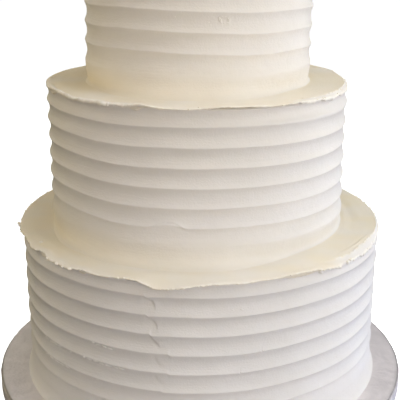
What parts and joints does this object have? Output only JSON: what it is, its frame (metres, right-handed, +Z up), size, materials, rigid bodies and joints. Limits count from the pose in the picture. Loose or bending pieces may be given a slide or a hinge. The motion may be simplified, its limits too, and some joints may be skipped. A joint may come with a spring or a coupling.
{
  "type": "tiered wedding cake",
  "caption": "Round tiered wedding cake in off-white buttercream, its sides combed into level scalloped grooves, its ledges smooth, stacked on a round silver foil board.",
  "frame": {"origin": "centre of the cake board's underside", "axes": "+Z up, -Y the cake's front, +X its right side seen from the front"},
  "size_m": [0.3048, 0.3048, 0.3255],
  "materials": {
    "foil_board": "satin foil, lightly embossed and creased",
    "buttercream": "soft satin buttercream"
  },
  "bodies": {
    "root": {"cake_board": "foil_board", "tier_bottom": "buttercream", "tier_middle": "buttercream", "tier_top": "buttercream"}
  },
  "joints": []
}
